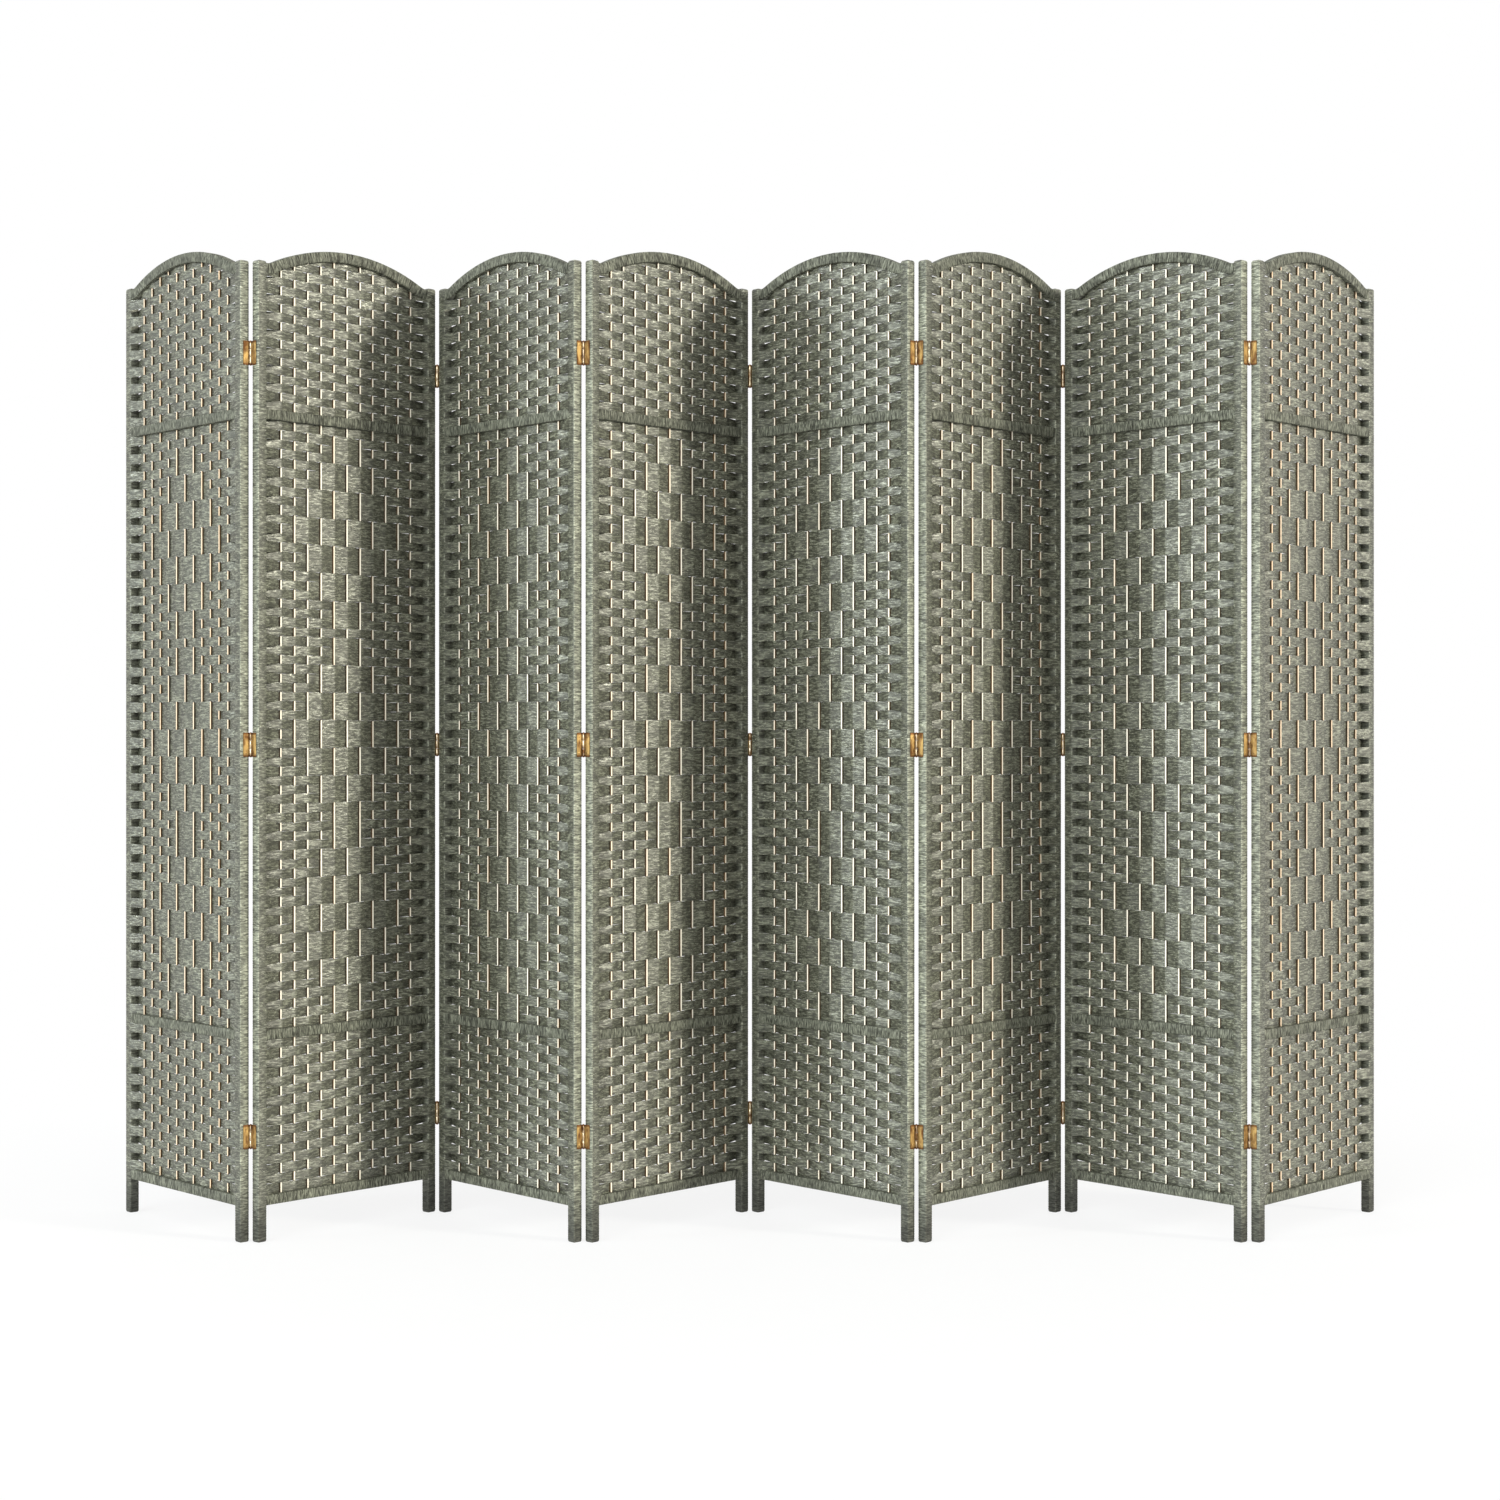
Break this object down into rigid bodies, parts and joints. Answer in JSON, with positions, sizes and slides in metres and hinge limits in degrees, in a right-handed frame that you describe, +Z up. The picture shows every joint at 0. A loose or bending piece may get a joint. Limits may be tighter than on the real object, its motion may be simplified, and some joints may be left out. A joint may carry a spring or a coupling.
{
  "type": "folding room divider",
  "caption": "Folding room screen of arched panels in woven paper ribbon over upright reeds, joined by brass butt hinges.",
  "frame": {"origin": "on the floor, in the middle of the screen's length and depth as it stands in its zigzag", "axes": "+X along the screen to the right as seen from the front, +Y to the back, +Z up"},
  "size_m": [2.3008, 0.305, 1.7378],
  "materials": {
    "wrapped_wood": "matt grey-green twisted paper wound tight over timber",
    "paper_ribbon": "matt flat bundles of grey-green twisted paper",
    "reed": "pale bare reed",
    "brass": "brass-plated steel, satin"
  },
  "bodies": {
    "panel_1": {"panel_1_left_post": "wrapped_wood", "panel_1_right_post": "wrapped_wood", "panel_1_rails": "wrapped_wood", "panel_1_reeds": "reed", "panel_1_weave": "paper_ribbon", "fold_1_pinned_leaves": "brass"},
    "panel_2": {"panel_2_left_post": "wrapped_wood", "panel_2_right_post": "wrapped_wood", "panel_2_rails": "wrapped_wood", "panel_2_reeds": "reed", "panel_2_weave": "paper_ribbon", "fold_1_free_leaves": "brass", "fold_2_pinned_leaves": "brass"},
    "panel_3": {"panel_3_left_post": "wrapped_wood", "panel_3_right_post": "wrapped_wood", "panel_3_rails": "wrapped_wood", "panel_3_reeds": "reed", "panel_3_weave": "paper_ribbon", "fold_2_free_leaves": "brass", "fold_3_pinned_leaves": "brass"},
    "panel_4": {"panel_4_left_post": "wrapped_wood", "panel_4_right_post": "wrapped_wood", "panel_4_rails": "wrapped_wood", "panel_4_reeds": "reed", "panel_4_weave": "paper_ribbon", "fold_3_free_leaves": "brass", "fold_4_pinned_leaves": "brass"},
    "panel_5": {"panel_5_left_post": "wrapped_wood", "panel_5_right_post": "wrapped_wood", "panel_5_rails": "wrapped_wood", "panel_5_reeds": "reed", "panel_5_weave": "paper_ribbon", "fold_4_free_leaves": "brass", "fold_5_pinned_leaves": "brass"},
    "panel_6": {"panel_6_left_post": "wrapped_wood", "panel_6_right_post": "wrapped_wood", "panel_6_rails": "wrapped_wood", "panel_6_reeds": "reed", "panel_6_weave": "paper_ribbon", "fold_5_free_leaves": "brass", "fold_6_pinned_leaves": "brass"},
    "panel_7": {"panel_7_left_post": "wrapped_wood", "panel_7_right_post": "wrapped_wood", "panel_7_rails": "wrapped_wood", "panel_7_reeds": "reed", "panel_7_weave": "paper_ribbon", "fold_6_free_leaves": "brass", "fold_7_pinned_leaves": "brass"},
    "panel_8": {"panel_8_left_post": "wrapped_wood", "panel_8_right_post": "wrapped_wood", "panel_8_rails": "wrapped_wood", "panel_8_reeds": "reed", "panel_8_weave": "paper_ribbon", "fold_7_free_leaves": "brass"}
  },
  "joints": [
    {"name": "fold_1_hinges", "type": "hinge", "parent": "panel_2", "child": "panel_1", "pos_m": [-0.86545, -0.14113, 0.861], "axis": [0, 0, 1], "range_deg": [-85, 95]},
    {"name": "fold_2_hinges", "type": "hinge", "parent": "panel_3", "child": "panel_2", "pos_m": [-0.57697, 0.14113, 0.861], "axis": [0, 0, -1], "range_deg": [-85, 95]},
    {"name": "fold_3_hinges", "type": "hinge", "parent": "panel_4", "child": "panel_3", "pos_m": [-0.28848, -0.14113, 0.861], "axis": [0, 0, 1], "range_deg": [-85, 95]},
    {"name": "fold_4_hinges", "type": "hinge", "parent": "panel_4", "child": "panel_5", "pos_m": [0, 0.14113, 0.861], "axis": [0, 0, 1], "range_deg": [-85, 95]},
    {"name": "fold_5_hinges", "type": "hinge", "parent": "panel_5", "child": "panel_6", "pos_m": [0.28848, -0.14113, 0.861], "axis": [0, 0, -1], "range_deg": [-85, 95]},
    {"name": "fold_6_hinges", "type": "hinge", "parent": "panel_6", "child": "panel_7", "pos_m": [0.57697, 0.14113, 0.861], "axis": [0, 0, 1], "range_deg": [-85, 95]},
    {"name": "fold_7_hinges", "type": "hinge", "parent": "panel_7", "child": "panel_8", "pos_m": [0.86545, -0.14113, 0.861], "axis": [0, 0, -1], "range_deg": [-85, 95]}
  ]
}
